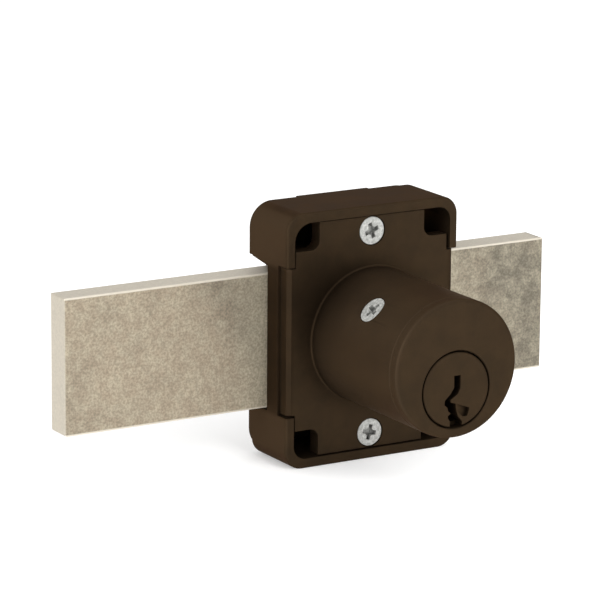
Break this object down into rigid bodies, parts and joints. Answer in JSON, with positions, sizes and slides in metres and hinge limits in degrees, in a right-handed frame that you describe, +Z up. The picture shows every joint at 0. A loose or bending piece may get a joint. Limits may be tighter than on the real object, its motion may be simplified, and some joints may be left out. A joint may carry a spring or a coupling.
{
  "type": "cabinet deadbolt lock",
  "caption": "Surface-mounted cabinet deadbolt: cast case, round pin tumbler nose and a long flat bolt that slides right through the case.",
  "frame": {"origin": "on the axis of the round nose, in the plane of the case's front rim, which lies against the inside of the door", "axes": "-Y out of the front along the nose towards the key, +X to the right seen from the front, away from the thrown end of the bolt, +Z up"},
  "size_m": [0.0884, 0.0377, 0.0415],
  "materials": {
    "bronze_paint": "satin dark bronze paint on a zinc casting",
    "bronze_paint_plug": "satin dark bronze paint on a turned plug",
    "zinc_plate": "dull zinc-plated steel bar",
    "bright_zinc": "bright zinc-plated steel",
    "brass": "plain turned brass",
    "steel": "plain pressed steel",
    "spring_steel": "drawn spring wire"
  },
  "bodies": {
    "lock_body": {"case": "bronze_paint", "cover": "bronze_paint", "cover_screw_upper": "bright_zinc", "cover_screw_lower": "bright_zinc", "core": "bronze_paint", "core_screw": "bright_zinc", "chamber_cap": "brass", "pin_spring_1": "spring_steel", "pin_spring_2": "spring_steel", "pin_spring_3": "spring_steel", "pin_spring_4": "spring_steel", "pin_spring_5": "spring_steel"},
    "bolt": {"bolt": "zinc_plate"},
    "plug": {"plug": "bronze_paint_plug", "cam": "steel", "drive_pin": "steel", "cam_screw": "bright_zinc"},
    "driver_pin_1": {"driver_pin_1": "brass"},
    "driver_pin_2": {"driver_pin_2": "brass"},
    "driver_pin_3": {"driver_pin_3": "brass"},
    "driver_pin_4": {"driver_pin_4": "brass"},
    "driver_pin_5": {"driver_pin_5": "brass"},
    "key_pin_1": {"key_pin_1": "brass"},
    "key_pin_2": {"key_pin_2": "brass"},
    "key_pin_3": {"key_pin_3": "brass"},
    "key_pin_4": {"key_pin_4": "brass"},
    "key_pin_5": {"key_pin_5": "brass"}
  },
  "joints": [
    {"name": "bolt_slide", "type": "slide", "parent": "lock_body", "child": "bolt", "axis": [1, 0, 0], "range_m": [0, 0.0127]},
    {"name": "plug_turn", "type": "hinge", "parent": "lock_body", "child": "plug", "pos_m": [0, 0, -0.0033], "axis": [0, 1, 0], "range_deg": [0, 180]},
    {"name": "driver_pin_1_drop", "type": "slide", "parent": "lock_body", "child": "driver_pin_1", "axis": [0, 0, 1], "range_m": [-0.00205, 0], "stiffness_N_per_m": 30, "springref_m": -0.006, "deforming": ["pin_spring_1"]},
    {"name": "driver_pin_2_drop", "type": "slide", "parent": "lock_body", "child": "driver_pin_2", "axis": [0, 0, 1], "range_m": [-0.00125, 0], "stiffness_N_per_m": 30, "springref_m": -0.006, "deforming": ["pin_spring_2"]},
    {"name": "driver_pin_3_drop", "type": "slide", "parent": "lock_body", "child": "driver_pin_3", "axis": [0, 0, 1], "range_m": [-0.00245, 0], "stiffness_N_per_m": 30, "springref_m": -0.006, "deforming": ["pin_spring_3"]},
    {"name": "driver_pin_4_drop", "type": "slide", "parent": "lock_body", "child": "driver_pin_4", "axis": [0, 0, 1], "range_m": [-0.00165, 0], "stiffness_N_per_m": 30, "springref_m": -0.006, "deforming": ["pin_spring_4"]},
    {"name": "driver_pin_5_drop", "type": "slide", "parent": "lock_body", "child": "driver_pin_5", "axis": [0, 0, 1], "range_m": [-0.00085, 0], "stiffness_N_per_m": 30, "springref_m": -0.006, "deforming": ["pin_spring_5"]},
    {"name": "key_pin_1_drop", "type": "slide", "parent": "plug", "child": "key_pin_1", "axis": [0, 0, 1], "range_m": [-0.00205, 0]},
    {"name": "key_pin_2_drop", "type": "slide", "parent": "plug", "child": "key_pin_2", "axis": [0, 0, 1], "range_m": [-0.00125, 0]},
    {"name": "key_pin_3_drop", "type": "slide", "parent": "plug", "child": "key_pin_3", "axis": [0, 0, 1], "range_m": [-0.00245, 0]},
    {"name": "key_pin_4_drop", "type": "slide", "parent": "plug", "child": "key_pin_4", "axis": [0, 0, 1], "range_m": [-0.00165, 0]},
    {"name": "key_pin_5_drop", "type": "slide", "parent": "plug", "child": "key_pin_5", "axis": [0, 0, 1], "range_m": [-0.00085, 0]}
  ],
  "couplings": [
    {"joint": "plug_turn", "follows": "bolt_slide", "rad_per_m": 247.37},
    {"joint": "key_pin_1_drop", "follows": "driver_pin_1_drop", "ratio": 1},
    {"joint": "key_pin_2_drop", "follows": "driver_pin_2_drop", "ratio": 1},
    {"joint": "key_pin_3_drop", "follows": "driver_pin_3_drop", "ratio": 1},
    {"joint": "key_pin_4_drop", "follows": "driver_pin_4_drop", "ratio": 1},
    {"joint": "key_pin_5_drop", "follows": "driver_pin_5_drop", "ratio": 1}
  ]
}
